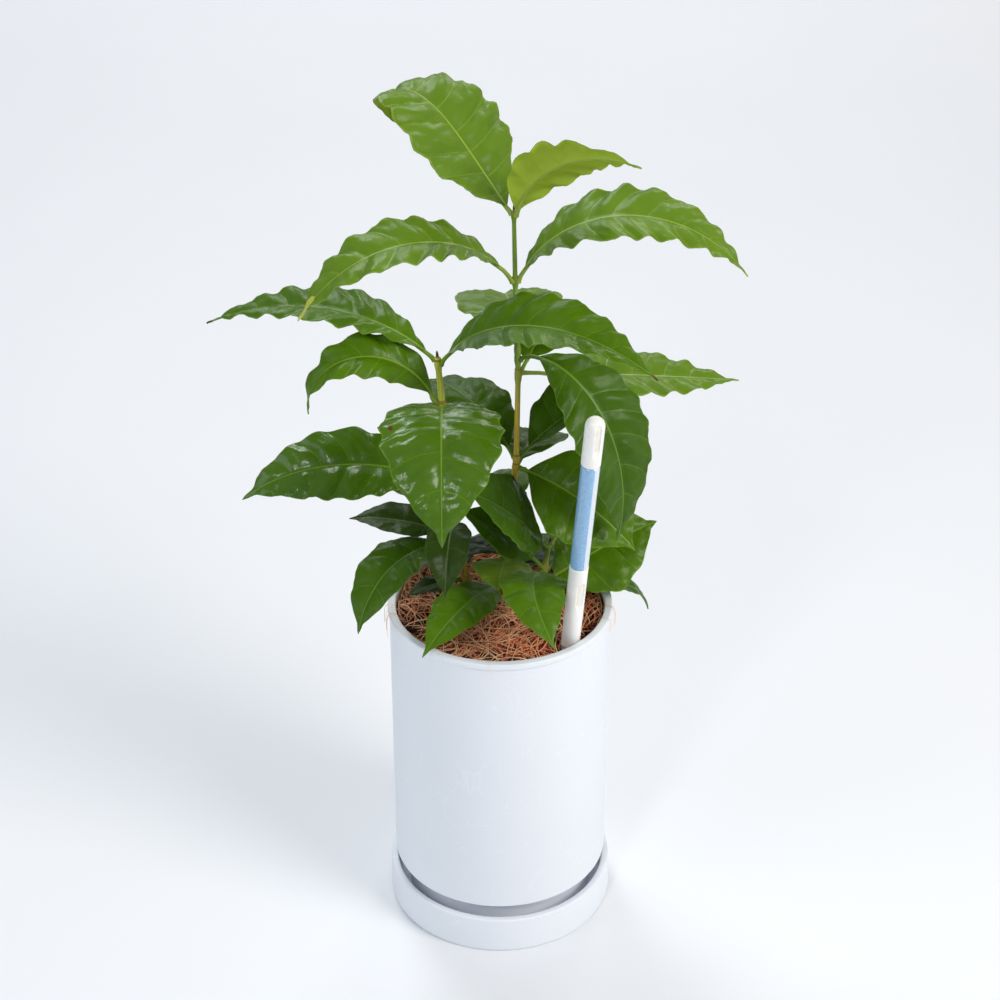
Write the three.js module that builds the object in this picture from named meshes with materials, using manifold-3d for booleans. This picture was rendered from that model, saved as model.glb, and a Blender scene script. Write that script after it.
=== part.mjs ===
// A young coffee plant with three stems in a white cylinder pot on its saucer.
// Millimetres, +Z up, +X to the right as seen from the front, +Y away from the front.
// The origin is the centre of the saucer's flat underside.

import * as THREE from "three";
import { mergeVertices } from "three/addons/utils/BufferGeometryUtils.js";
import Module from "manifold-3d";

const wasm = await Module();
wasm.setup();

// Clearance between pieces that touch on the real plant
const GAP = 0.3;

// Saucer
const SAUCER_FOOT_RADIUS = 76;
const SAUCER_LIP_RADIUS = 75.3;
const SAUCER_HEIGHT = 26.5;
const SAUCER_WALL = 4.7;
const SAUCER_FLOOR = 4;
const SAUCER_EDGE = 1.6;

// Pot: a straight cylinder over a narrower foot, with a thin lip at the rim
const POT_HEIGHT = 232;
const RIM_RADIUS = 72.5;
const RIM_HEIGHT = 4;
const POT_TOP_RADIUS = 71.3;
const POT_LOW_RADIUS = 71.9;
const POT_INNER_RADIUS = 67.4;
const POT_FLOOR_TOP = 44;
const POT_EDGE_HEIGHT = 36;
const FOOT_RADIUS = 62;
const FOOT_TOP = 30;
const FOOT_RECESS_RADIUS = 54;
const FOOT_RECESS = 3;
const ROUND_SIDES = 60;

// Soil, and the mat of coir fibre that covers it
const SOIL_RADIUS = POT_INNER_RADIUS - 0.5;
const SOIL_TOP = 217;
const COIR_RADIUS = POT_INNER_RADIUS - 0.6;
const COIR_TOP = 226;
const COIR_LUMP = 1.3;
const COIR_SIDES = 48;
const COIR_RINGS = 6;

// Moisture stick: a round white tube with a blue window let in round its neck
const STICK_FOOT = new THREE.Vector3(44.2, -39.4, COIR_TOP);
const STICK_TOP = new THREE.Vector3(54.7, -73.1, 404.4);
const STICK_RADIUS = 5.9;
const STICK_SUNK = 34;
const WINDOW_FROM = 67;
const WINDOW_TO = 148;
const WINDOW_INSET = 0.5;
const STICK_SIDES = 20;

// Stems: height, centre x, centre y and radius at each bend, from the soil up
const STEM_SIDES = 10;
const STEM_STEP = 15;
const FLARE_HEIGHT = 16;
const FLARE = 1.7;
const NODE_SWELL = 0.6;
const NODE_REACH = 5;
const BUD_LENGTH = 5;
const STEMS = {
  main: [
    [SOIL_TOP + GAP, 2, 19, 2.5],
    [334, 10, 1, 1.75],
    [396, 11, 0, 1.6],
    [456, 9, 0, 1.45],
    [500, 8, 0, 1.2],
  ],
  left: [
    [SOIL_TOP + GAP, -19, 17, 2.9],
    [300, -30, 4, 2.4],
    [372, -35, 0, 2.2],
    [406, -37.5, 0, 1.7],
  ],
  front: [
    [SOIL_TOP + GAP, 20, -3, 2.4],
    [262, 28, -9, 1.8],
    [281, 31, -10, 1.4],
  ],
};

// Leaves: the stem and the height "at" which the stalk leaves it; "turn" is the way it
// points seen from above (0 right, 90 back, 180 left, -90 front) and "sweep" how far that
// turns by the tip; it starts at "rise" degrees above level and bends down by "fall", later
// for a higher "late"; stalk, blade length and width in mm; "roll" about the midrib, how far
// it will "twist" by the tip, "fold" of each half up from it, and the margin's wave height.
const LEAF_COLUMNS = ["name", "stem", "at", "turn", "sweep", "rise", "fall", "late",
  "stalk", "long", "wide", "roll", "twist", "fold", "wave"];
const LEAF_ROWS = [
  ["leaf_main_top_left", "main", 498, 145, 0, 47, 215, 5, 6, 125, 80, 0, 0, 4, 2],
  ["leaf_main_top_right", "main", 498, -36, 0, 76, 84, 0.82, 3, 102, 42, -40, 0, 8, 2],
  ["leaf_main_upper_left", "main", 456, 200, 0, 62, 118, 0.86, 14, 141, 46, -10, 0, 8, 2.6],
  ["leaf_main_upper_right", "main", 456, -10, 0, 72, 125, 0.9, 9, 155, 50, 14, 0, 6, 2.6],
  ["leaf_main_upper_back", "main", 411, 95, 0, 21, 62, 1, 8, 112, 66, 0, 0, 2, 2],
  ["leaf_main_middle_front", "main", 405, -31, 0, 78, 180, 0.36, 14, 140, 52, 24, 0, 4, 1.3],
  ["leaf_main_middle_back", "main", 393, 72, 0, 16, 50, 1, 16, 92, 46, 0, 0, 8, 2],
  ["leaf_main_middle_right", "main", 396, 17, 0, -9, 3, 1, 16, 130, 50, 8, 0, 6, 2],
  ["leaf_main_lower_right", "main", 336, 36, 0, 36, 45, 1, 10, 84, 46, 0, 0, 24, 1.3],
  ["leaf_main_lower_left", "main", 336, 128, 0, 42, 64, 1, 8, 92, 48, 0, 0, 4, 1.3],
  ["leaf_main_lower_back", "main", 328, 72, 0, 16, 60, 1, 8, 72, 42, 0, 0, 10, 0.6],
  ["leaf_main_lower_front", "main", 330, -20, 0, -12, 36, 1, 6, 84, 62, 36, 0, 8, 0.6],
  ["leaf_main_low_back", "main", 292, 100, 0, 10, 50, 1, 8, 86, 44, 0, 0, 8, 1.3],
  ["leaf_left_low_front", "left", 290, -95, 0, 30, 104, 1, 8, 60, 30, 0, 0, 20, 0.6],
  ["leaf_main_foot_left", "main", 258, 140, 0, -4, 16, 1, 6, 42, 32, 0, 0, 8, 0.6],
  ["leaf_main_foot_front", "main", 235, 239, 0, 24, 48, 1, 6, 93, 35, -8, 0, 6, 0.6],
  ["leaf_main_foot_back", "main", 239, 56, 0, 10, 30, 1, 8, 66, 34, 0, 0, 8, 0.6],
  ["leaf_left_top_left", "left", 404, 162, 0, 50, 79, 0.62, 8, 152, 44, -4, 0, 10, 2.6],
  ["leaf_left_top_right", "left", 402, -32, 0, 65, 92, 0.72, 10, 154, 50, 30, -30, 12, 1.6],
  ["leaf_left_middle_left", "left", 374, 191, 0, 66, 164, 1.45, 10, 108, 32, -62, 64, 6, 2.6],
  ["leaf_left_middle_front", "left", 373, -89, 0, 42, 128, 1, 4, 126, 72, 0, 0, 2, 0.6],
  ["leaf_left_lower_left", "left", 319, 184, 0, 23, 63, 1.35, 8, 126, 50, -24, -16, 4, 2],
  ["leaf_left_lower_back", "left", 322, 84, 0, 24, 60, 1, 10, 98, 46, 0, 0, 8, 1.3],
  ["leaf_left_low_left", "left", 276, 180, 0, 27, 32, 1, 8, 60, 30, -12, 0, 8, 0.6],
  ["leaf_left_low_droop", "left", 270, 197, 52, 14, 74, 1, 8, 87, 40, 0, 0, 8, 0.6],
  ["leaf_left_low_back", "left", 280, 122, 0, 28, 56, 1, 10, 92, 42, 0, 0, 8, 1.3],
  ["leaf_left_foot_left", "left", 240, 200, 0, 8, 30, 1, 6, 32, 18, 0, 0, 8, 0.6],
  ["leaf_left_foot_back", "left", 238, 108, 0, 6, 24, 1, 8, 62, 34, 0, 0, 8, 0.6],
  ["leaf_front_top_left", "front", 279, 213, 0, 56, 22, 1, 6, 80, 56, -34, 0, 8, 0.6],
  ["leaf_front_top_back", "front", 280, 50, 0, 40, 20, 1, 6, 86, 42, 0, 0, 10, 0.6],
  ["leaf_front_low_left", "front", 264, 200, 0, 52, 16, 1, 10, 66, 34, -35, 0, 8, 0.6],
  ["leaf_front_low_back", "front", 256, 64, 0, 4, 34, 1, 10, 84, 38, 0, 0, 8, 1.3],
  ["leaf_front_low_right", "front", 249, 22, 0, 27, 14, 1, 8, 76, 60, 40, 0, 6, 0.6],
  ["leaf_front_low_front", "front", 260, -113, 56, 34, 76, 1, 5, 82, 40, 0, 0, 6, 0.6],
  ["leaf_main_foot_right", "main", 260, -99, 0, 14, 34, 1, 6, 34, 38, 0, 0, 6, 0.6],
  ["leaf_front_foot_right", "front", 238, 18, 0, 14, 92, 1.8, 10, 79, 30, 0, 0, 8, 0.6],
];
const LEAF_STEP = 5;
const WAVE_LENGTH = 18;
const WAVE_LAG = 1.3;
const STALK_RADIUS = 1.1;
const STALK_GAP = GAP + 0.1;
const LEAF_THICKNESS = 0.011;
const LEAF_TIP_WIDTH = 0.9;
const BLADE_UNDERSIDE = 3;
const OVAL_END = 0.93;
const DRIP_WIDTH = 0.14;

const MATERIALS = {
  pot: new THREE.MeshStandardMaterial({ color: 0xeef3fa, roughness: 0.55, metalness: 0 }),
  soil: new THREE.MeshStandardMaterial({ color: 0x2e2119, roughness: 1, metalness: 0 }),
  coir: new THREE.MeshStandardMaterial({ color: 0x8c5a3c, roughness: 0.9, metalness: 0 }),
  stick: new THREE.MeshStandardMaterial({ color: 0xf2f2ee, roughness: 0.35, metalness: 0 }),
  window: new THREE.MeshStandardMaterial({ color: 0x82afd7, roughness: 0.3, metalness: 0 }),
  stem: new THREE.MeshStandardMaterial({ color: 0x8a7a42, roughness: 0.7, metalness: 0 }),
  leaf: new THREE.MeshStandardMaterial({ color: 0x3f6f22, roughness: 0.35, metalness: 0 }),
};

const radians = (degrees) => (degrees * Math.PI) / 180;

// Closed solids from rings of points and from profiles

function geometryFrom(points, faces) {
  const geometry = new THREE.BufferGeometry();
  geometry.setAttribute("position", new THREE.Float32BufferAttribute(points.flat(), 3));
  geometry.setIndex(faces.flat());
  geometry.computeVertexNormals();
  return geometry;
}

// Joins rings of equal length into a tube that is capped at both ends. Each four-sided face
// is split along one diagonal, and along the other one from side "turned" on, which keeps
// the upper and lower faces of a thin blade parallel.
function loft(rings, turned = Infinity) {
  const count = rings[0].length;
  const faces = [];
  for (let i = 0; i + 1 < rings.length; i += 1) {
    for (let j = 0; j < count; j += 1) {
      const a = i * count + j;
      const b = i * count + ((j + 1) % count);
      if (j < turned) {
        faces.push([a, b, b + count], [a, b + count, a + count]);
      } else {
        faces.push([a, b, a + count], [b, b + count, a + count]);
      }
    }
  }
  const last = (rings.length - 1) * count;
  for (let j = 1; j + 1 < count; j += 1) {
    faces.push([0, j + 1, j], [last, last + j, last + j + 1]);
  }
  return geometryFrom(rings.flat(), faces);
}

function lathe(profile, sides = ROUND_SIDES) {
  const points = profile.map(([r, z]) => new THREE.Vector2(r, z));
  return new THREE.LatheGeometry(points, sides).rotateX(Math.PI / 2);
}

function toSolid(geometry) {
  const bare = geometry.clone();
  bare.deleteAttribute("normal");
  bare.deleteAttribute("uv");
  const merged = mergeVertices(bare, 1e-4);
  return new wasm.Manifold(new wasm.Mesh({
    numProp: 3,
    vertProperties: new Float32Array(merged.attributes.position.array),
    triVerts: new Uint32Array(merged.index.array),
  }));
}

function fromSolid(solid) {
  const mesh = solid.getMesh();
  const geometry = new THREE.BufferGeometry();
  geometry.setAttribute("position", new THREE.Float32BufferAttribute(mesh.vertProperties, 3));
  geometry.setIndex(new THREE.Uint32BufferAttribute(mesh.triVerts, 1));
  geometry.computeVertexNormals();
  return geometry;
}

// Saucer, pot, soil and coir

function saucerGeometry() {
  const inner = SAUCER_LIP_RADIUS - SAUCER_WALL;
  return lathe([
    [0, 0],
    [SAUCER_FOOT_RADIUS - SAUCER_EDGE, 0],
    [SAUCER_FOOT_RADIUS, SAUCER_EDGE],
    [SAUCER_LIP_RADIUS, SAUCER_HEIGHT - SAUCER_EDGE / 2],
    [SAUCER_LIP_RADIUS - SAUCER_EDGE / 2, SAUCER_HEIGHT],
    [inner + SAUCER_EDGE / 2, SAUCER_HEIGHT],
    [inner, SAUCER_HEIGHT - SAUCER_EDGE / 2],
    [inner - SAUCER_EDGE / 2, SAUCER_FLOOR + SAUCER_EDGE],
    [inner - 2 * SAUCER_EDGE, SAUCER_FLOOR],
    [0, SAUCER_FLOOR],
  ]);
}

function potGeometry() {
  const foot = SAUCER_FLOOR + GAP;
  return lathe([
    [0, foot + FOOT_RECESS],
    [FOOT_RECESS_RADIUS, foot + FOOT_RECESS],
    [FOOT_RECESS_RADIUS, foot],
    [FOOT_RADIUS, foot],
    [FOOT_RADIUS, FOOT_TOP],
    [POT_LOW_RADIUS - 1, POT_EDGE_HEIGHT - 1],
    [POT_LOW_RADIUS, POT_EDGE_HEIGHT + 1],
    [POT_TOP_RADIUS, POT_HEIGHT - RIM_HEIGHT - 1],
    [RIM_RADIUS, POT_HEIGHT - RIM_HEIGHT],
    [RIM_RADIUS, POT_HEIGHT - 1],
    [RIM_RADIUS - 1, POT_HEIGHT],
    [POT_INNER_RADIUS + 1, POT_HEIGHT],
    [POT_INNER_RADIUS, POT_HEIGHT - 1],
    [POT_INNER_RADIUS, POT_FLOOR_TOP],
    [0, POT_FLOOR_TOP],
  ]);
}

function cylinderBetween(from, to, radius, sides) {
  const along = new THREE.Vector3().subVectors(to, from);
  const geometry = new THREE.CylinderGeometry(radius, radius, along.length(), sides);
  const up = new THREE.Vector3(0, 1, 0);
  geometry.applyQuaternion(new THREE.Quaternion().setFromUnitVectors(up, along.clone().normalize()));
  const middle = new THREE.Vector3().addVectors(from, to).multiplyScalar(0.5);
  return geometry.translate(middle.x, middle.y, middle.z);
}

// The stick's own hole in the soil and the coir, one gap wider and deeper all round
function stickHole() {
  return toSolid(cylinderBetween(stickPoint(-STICK_SUNK - GAP), stickPoint(STICK_RADIUS),
    STICK_RADIUS + GAP, STICK_SIDES));
}

function soilGeometry() {
  const soil = toSolid(lathe([
    [0, POT_FLOOR_TOP + GAP],
    [SOIL_RADIUS, POT_FLOOR_TOP + GAP],
    [SOIL_RADIUS, SOIL_TOP],
    [0, SOIL_TOP],
  ], COIR_SIDES));
  return fromSolid(soil.subtract(stickHole()));
}

function coirHeight(x, y) {
  const lump = Math.sin(x / 7 + 1) * Math.cos(y / 9) + 0.6 * Math.sin((x - y) / 5);
  return COIR_TOP - 1 + COIR_LUMP * 0.6 * lump;
}

function coirGeometry() {
  const floor = SOIL_TOP + GAP;
  const points = [[0, 0, floor], [0, 0, coirHeight(0, 0)]];
  const faces = [];
  const add = (radius, angle, z) => {
    const x = radius * Math.cos(angle);
    const y = radius * Math.sin(angle);
    points.push([x, y, z === null ? coirHeight(x, y) : z]);
  };
  for (let ring = 1; ring <= COIR_RINGS; ring += 1) {
    for (let side = 0; side < COIR_SIDES; side += 1) {
      add((COIR_RADIUS * ring) / COIR_RINGS, (2 * Math.PI * side) / COIR_SIDES, null);
    }
  }
  for (let side = 0; side < COIR_SIDES; side += 1) {
    add(COIR_RADIUS, (2 * Math.PI * side) / COIR_SIDES, floor);
  }
  for (let side = 0; side < COIR_SIDES; side += 1) {
    const next = (side + 1) % COIR_SIDES;
    faces.push([1, 2 + side, 2 + next]);
    for (let ring = 0; ring < COIR_RINGS; ring += 1) {
      const a = 2 + ring * COIR_SIDES;
      const b = a + COIR_SIDES;
      faces.push([a + side, b + side, b + next], [a + side, b + next, a + next]);
    }
    const low = 2 + COIR_RINGS * COIR_SIDES;
    faces.push([0, low + next, low + side]);
  }
  let coir = toSolid(geometryFrom(points, faces)).subtract(stickHole());
  for (const name of Object.keys(STEMS)) {
    coir = coir.subtract(toSolid(stemGeometry(name, GAP)));
  }
  return fromSolid(coir);
}

// Moisture stick

function stickPoint(along) {
  const direction = new THREE.Vector3().subVectors(STICK_TOP, STICK_FOOT).normalize();
  return STICK_FOOT.clone().addScaledVector(direction, along);
}

function stickRings(profile) {
  const direction = new THREE.Vector3().subVectors(STICK_TOP, STICK_FOOT).normalize();
  const side = new THREE.Vector3(1, 0, 0).cross(direction).normalize();
  const other = direction.clone().cross(side);
  return profile.map(([radius, along]) => {
    const centre = stickPoint(along);
    return Array.from({ length: STICK_SIDES }, (_, i) => {
      const angle = (2 * Math.PI * i) / STICK_SIDES;
      return centre.clone()
        .addScaledVector(side, radius * Math.cos(angle))
        .addScaledVector(other, radius * Math.sin(angle))
        .toArray();
    });
  });
}

function stickGeometry() {
  const length = STICK_TOP.distanceTo(STICK_FOOT);
  const neck = STICK_RADIUS - 2;
  return loft(stickRings([
    [STICK_RADIUS * 0.5, -STICK_SUNK],
    [STICK_RADIUS, -STICK_SUNK + 6],
    [STICK_RADIUS, WINDOW_FROM],
    [neck, WINDOW_FROM],
    [neck, WINDOW_TO],
    [STICK_RADIUS, WINDOW_TO],
    [STICK_RADIUS, length - 6],
    [STICK_RADIUS * 0.92, length - 3.4],
    [STICK_RADIUS * 0.68, length - 1.2],
    [STICK_RADIUS * 0.3, length],
  ]));
}

// A sleeve round the neck, which shows between the stick's two white ends
function windowGeometry() {
  const outer = loft(stickRings([
    [STICK_RADIUS - WINDOW_INSET, WINDOW_FROM + GAP],
    [STICK_RADIUS - WINDOW_INSET, WINDOW_TO - GAP],
  ]));
  const bore = loft(stickRings([
    [STICK_RADIUS - 2 + GAP, WINDOW_FROM],
    [STICK_RADIUS - 2 + GAP, WINDOW_TO],
  ]));
  return fromSolid(toSolid(outer).subtract(toSolid(bore)));
}

// Stems

function stemAt(name, height) {
  const bends = STEMS[name];
  let i = 0;
  while (i + 2 < bends.length && height > bends[i + 1][0]) {
    i += 1;
  }
  const t = (height - bends[i][0]) / (bends[i + 1][0] - bends[i][0]);
  const [x, y, radius] = [1, 2, 3].map((k) => bends[i][k] + t * (bends[i + 1][k] - bends[i][k]));
  return { centre: new THREE.Vector3(x, y, height), radius };
}

// The stem's own radius, wider at its foot and at each joint that carries leaves
function stemRadius(name, height) {
  const foot = STEMS[name][0][0];
  const flare = 1 + (FLARE - 1) * Math.exp((foot - height) / (FLARE_HEIGHT / 2));
  const swell = LEAVES.filter((leaf) => leaf.stem === name)
    .map((leaf) => Math.max(0, 1 - Math.abs(leaf.at - height) / NODE_REACH));
  return stemAt(name, height).radius * flare + NODE_SWELL * Math.max(0, ...swell);
}

function stemHeights(name) {
  const bends = STEMS[name];
  const foot = bends[0][0];
  const tip = bends[bends.length - 1][0];
  const heights = [foot, foot + FLARE_HEIGHT / 4, foot + FLARE_HEIGHT / 2, foot + FLARE_HEIGHT];
  for (let height = foot + FLARE_HEIGHT + STEM_STEP; height < tip - 4; height += STEM_STEP) {
    heights.push(height);
  }
  for (const leaf of LEAVES.filter((row) => row.stem === name)) {
    heights.push(leaf.at - NODE_REACH, leaf.at, leaf.at + NODE_REACH);
  }
  const sorted = heights.filter((height) => height >= foot && height < tip).sort((a, b) => a - b);
  return [...sorted.filter((height, i) => i === 0 || height - sorted[i - 1] > 1.5), tip];
}

function stemGeometry(name, extra = 0) {
  const heights = stemHeights(name);
  const tip = heights[heights.length - 1];
  const stations = heights.map((height) => [height, stemRadius(name, height) + extra]);
  stations.push([tip + BUD_LENGTH / 2, stemAt(name, tip).radius * 0.8], [tip + BUD_LENGTH, 0.4]);
  const rings = stations.map(([height, radius]) => {
    const centre = stemAt(name, height).centre;
    return Array.from({ length: STEM_SIDES }, (_, i) => {
      const angle = (2 * Math.PI * i) / STEM_SIDES;
      return [centre.x + radius * Math.cos(angle), centre.y + radius * Math.sin(angle), height];
    });
  });
  return loft(rings);
}

// Leaves

const LEAVES = LEAF_ROWS.map((row) => Object.fromEntries(row.map((v, i) => [LEAF_COLUMNS[i], v])));

// The midrib's points, with the way it runs and the leaf's side and upward directions there
function midrib(leaf, count) {
  const stem = stemAt(leaf.stem, leaf.at);
  const total = leaf.stalk + leaf.long;
  const frames = Array.from({ length: count }, (_, i) => {
    const s = i / (count - 1);
    const up = radians(leaf.rise - leaf.fall * s ** leaf.late);
    const turn = radians(leaf.turn + leaf.sweep * s);
    const along = new THREE.Vector3(
      Math.cos(up) * Math.cos(turn), Math.cos(up) * Math.sin(turn), Math.sin(up));
    const level = new THREE.Vector3(-Math.sin(turn), Math.cos(turn), 0);
    const above = along.clone().cross(level).normalize();
    const roll = radians(leaf.roll + leaf.twist * s);
    const side = level.clone().multiplyScalar(Math.cos(roll)).addScaledVector(above, Math.sin(roll));
    above.multiplyScalar(Math.cos(roll)).addScaledVector(level, -Math.sin(roll));
    return { s, along, side, above };
  });
  const clear = stemRadius(leaf.stem, leaf.at) + STALK_GAP
    + STALK_RADIUS * Math.abs(Math.sin(radians(leaf.rise)));
  const turn = radians(leaf.turn);
  const point = stem.centre.clone().add(
    new THREE.Vector3(Math.cos(turn) * clear, Math.sin(turn) * clear, 0));
  frames.forEach((frame, i) => {
    if (i > 0) {
      const step = frames[i - 1].along.clone().add(frame.along).normalize();
      point.addScaledVector(step, total / (count - 1));
    }
    frame.point = point.clone();
    frame.blade = (frame.s * total - leaf.stalk) / leaf.long;
  });
  return frames;
}

// Half of the blade's width at a fraction of its length: an oval with a narrow drip tip
function halfWidth(leaf, blade) {
  if (blade <= 0 || blade >= 1) {
    return 0;
  }
  const oval = Math.sin(Math.PI * Math.min(1, blade / OVAL_END) ** 0.9) ** (1 - 0.3 * blade);
  const drip = DRIP_WIDTH * Math.min(1, blade * 3, (1 - blade) / (1.6 * (1 - OVAL_END))) ** 0.8;
  return (leaf.wide / 2) * Math.cbrt(oval ** 3 + drip ** 3);
}

// The height of the wavy margin over the blade, with the two margins out of step
function marginWave(leaf, blade, lag) {
  const inside = Math.min(1, Math.max(0, blade));
  const waves = Math.max(2, Math.round(leaf.long / WAVE_LENGTH));
  return leaf.wave * Math.sin(2 * Math.PI * waves * inside + lag) * Math.sqrt(Math.sin(Math.PI * inside));
}

function leafGeometry(leaf) {
  const count = Math.round((leaf.stalk + leaf.long) / LEAF_STEP) + 1;
  const half = Math.max(0.5, (leaf.long * LEAF_THICKNESS) / 2);
  const fold = radians(leaf.fold);
  const rings = midrib(leaf, count).map(({ point, side, above, blade }) => {
    const onStalk = blade <= 0;
    const width = Math.max(onStalk ? STALK_RADIUS : LEAF_TIP_WIDTH, halfWidth(leaf, blade));
    const place = (across, up) => point.clone()
      .addScaledVector(side, across)
      .addScaledVector(above, up)
      .toArray();
    const left = width * Math.sin(fold) + marginWave(leaf, blade, 0);
    const right = width * Math.sin(fold) + marginWave(leaf, blade, WAVE_LAG);
    const reach = width * Math.cos(fold);
    const middle = onStalk ? STALK_RADIUS : half;
    return [
      place(reach, left + half),
      place(0, middle),
      place(-reach, right + half),
      place(-reach, right - half),
      place(0, -middle),
      place(reach, left - half),
    ];
  });
  return loft(rings, BLADE_UNDERSIDE);
}

// The whole plant

function piece(name, geometry, material) {
  const mesh = new THREE.Mesh(geometry, material);
  mesh.name = name;
  return mesh;
}

const plant = new THREE.Group();
plant.add(piece("saucer", saucerGeometry(), MATERIALS.pot));
plant.add(piece("pot", potGeometry(), MATERIALS.pot));
plant.add(piece("soil", soilGeometry(), MATERIALS.soil));
plant.add(piece("coir_mat", coirGeometry(), MATERIALS.coir));
plant.add(piece("moisture_stick", stickGeometry(), MATERIALS.stick));
plant.add(piece("moisture_window", windowGeometry(), MATERIALS.window));
for (const name of Object.keys(STEMS)) {
  plant.add(piece(`stem_${name}`, stemGeometry(name), MATERIALS.stem));
}
for (const leaf of LEAVES) {
  plant.add(piece(leaf.name, leafGeometry(leaf), MATERIALS.leaf));
}

export default plant;
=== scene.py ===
# The looks of a young coffee plant in a white pot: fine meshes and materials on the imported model.
# Shapes are worked out in millimetres and stored in metres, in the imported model's frame:
# +Z up, +X to the right as seen from the front, +Y away from the front.

import math

import bpy
import numpy as np
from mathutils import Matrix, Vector


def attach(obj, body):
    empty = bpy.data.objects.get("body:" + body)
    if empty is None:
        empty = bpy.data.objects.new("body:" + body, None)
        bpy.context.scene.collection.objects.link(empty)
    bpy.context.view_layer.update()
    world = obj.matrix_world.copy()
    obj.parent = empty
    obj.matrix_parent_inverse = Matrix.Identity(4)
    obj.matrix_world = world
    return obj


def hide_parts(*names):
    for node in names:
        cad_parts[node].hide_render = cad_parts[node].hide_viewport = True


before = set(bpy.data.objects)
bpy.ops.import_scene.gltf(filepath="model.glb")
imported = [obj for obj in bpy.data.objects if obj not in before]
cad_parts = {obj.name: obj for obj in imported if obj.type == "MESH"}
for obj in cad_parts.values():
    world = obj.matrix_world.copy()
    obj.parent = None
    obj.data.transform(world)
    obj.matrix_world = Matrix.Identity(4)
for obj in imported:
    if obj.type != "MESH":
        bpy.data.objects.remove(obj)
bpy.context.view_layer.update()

MM = 0.001
TAU = 2 * math.pi
SEED = 20

# Saucer and pot
SAUCER_FOOT_RADIUS = 76.0
SAUCER_LIP_RADIUS = 75.3
SAUCER_HEIGHT = 26.5
SAUCER_WALL = 4.7
SAUCER_FLOOR = 4.0
SAUCER_EDGE = 1.6
POT_HEIGHT = 232.0
RIM_RADIUS = 72.5
RIM_HEIGHT = 4.0
POT_TOP_RADIUS = 71.3
POT_LOW_RADIUS = 71.9
POT_INNER_RADIUS = 67.4
POT_FLOOR_TOP = 44.0
POT_EDGE_HEIGHT = 36.0
FOOT_RADIUS = 62.0
FOOT_TOP = 30.0
FOOT_RECESS_RADIUS = 54.0
FOOT_RECESS = 3.0
RIM_STEP = 0.8
POT_ROUNDING = 1.1
SAUCER_ROUNDING = 1.3
GAP = 0.3
ROUND_SIDES = 160
CORNER_STEPS = 5

# Coir mat
SOIL_TOP = 217.0
COIR_RADIUS = POT_INNER_RADIUS - 0.6
COIR_TOP = 226.0
COIR_LUMP = 0.78
COIR_EDGE = 2.4
COIR_SINK = 3.2
COIR_SIDES = 120
COIR_RINGS = 44
# Loose fibres: for each kind how many there are, how high it lies, and its two screen colours
# The lower a kind lies the darker it is: partly the coir's own browns, partly painted shade under the
# paler strands.
FIBRE_KINDS = {
    "pale": (330, 1.0, (248, 184, 138), (255, 216, 174)),
    "tan": (480, 0.1, (228, 136, 92), (248, 166, 120)),
    "brown": (520, -1.0, (138, 68, 40), (168, 90, 58)),
    "dark": (560, -1.7, (56, 22, 12), (86, 38, 22)),
}
FIBRE_LENGTH = (20, 66)
FIBRE_RADIUS = (0.21, 0.46)
FIBRE_ARCH = (0.2, 3.4)
FIBRE_SPREAD = 0.45
FIBRE_BEND = 0.05
FIBRE_KINK = 0.12
FIBRE_STEPS = 10
FIBRE_SIDES = 3
# Strays over the rim: their path out from its inner edge and up from its top, and the angles
# round the pot where most of them are
STRAY_FIBRES = 11
STRAY_RADIUS = (0.1, 0.17)
STRAY_SIDES = 4
STRAY_OUT = (-5.4, -1.9, 0.2, 2.8, 6.0, 7.0, 7.4, 7.2)
STRAY_UP = (-6.5, -4.5, -0.6, 1.6, 0.6, -3.4, -9.0, -14.5)
STRAY_BUNCHES = (1.06 * math.pi, 1.5 * math.pi, 1.94 * math.pi)

# Moisture stick
STICK_FOOT = np.array([44.2, -39.4, COIR_TOP])
STICK_TOP = np.array([54.7, -73.1, 404.4])
STICK_RADIUS = 5.9
STICK_SUNK = 34.0
STICK_SIDES = 96
STICK_STEP = 4.0
STICK_BEVEL = 0.4
NECK_RADIUS = STICK_RADIUS - 2
DOME_HEIGHT = 6.0
DOME_RINGS = 12
WINDOW_FROM = 67.0
WINDOW_TO = 148.0
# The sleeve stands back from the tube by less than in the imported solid, and is pale between
# two angles from the front
WINDOW_INSET = 0.15
WINDOW_SEAM = (0.45, 1.9)
# Slots: length, width, height of the middle, and angle from the front
SLOTS = [(20.0, 4.1, 169.6, 0.36), (20.0, 5.2, 45.7, 0.45)]
SLOT_DEPTH = 0.9
SLOT_SLOPE = 0.35
SLOT_STEP = 0.35

# Stems: flare at the soil, swelling at each joint with a scar above it, and a bud on top
STEM_SIDES = 28
STEM_STEP = 1.2
FLARE_REACH = 8.0
FLARE = 0.7
NODE_SWELL = 0.6
NODE_REACH = 5.0
SCAR_ABOVE = 2.5
SCAR_WIDTH = 0.8
SCAR_REACH = 1.2
SCAR_SWELL = 0.25
# Lengthwise ridges: height as a share of the radius, how many, and mm for one radian of drift
RIDGES = [(0.03, 5, 40), (0.018, 9, -23)]
# The bud's rings: share of its length, and share of the stem's radius
BUD_LENGTH = 5.0
BUD_FLAT = 0.7
BUD_RINGS = [(0.1, 0.9), (0.25, 0.55), (0.5, 0.5), (0.75, 0.4), (1.0, 0.12)]
BUD_FROM = 0.2
# Height, centre x, centre y and radius at each bend, from the soil up
STEMS = {
    "main": [(SOIL_TOP + GAP, 2, 19, 2.5), (334, 10, 1, 1.75), (396, 11, 0, 1.6),
             (456, 9, 0, 1.45), (500, 8, 0, 1.2)],
    "left": [(SOIL_TOP + GAP, -19, 17, 2.9), (300, -30, 4, 2.4), (372, -35, 0, 2.2),
             (406, -37.5, 0, 1.7)],
    "front": [(SOIL_TOP + GAP, 20, -3, 2.4), (262, 28, -9, 1.8), (281, 31, -10, 1.4)],
}
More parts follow.
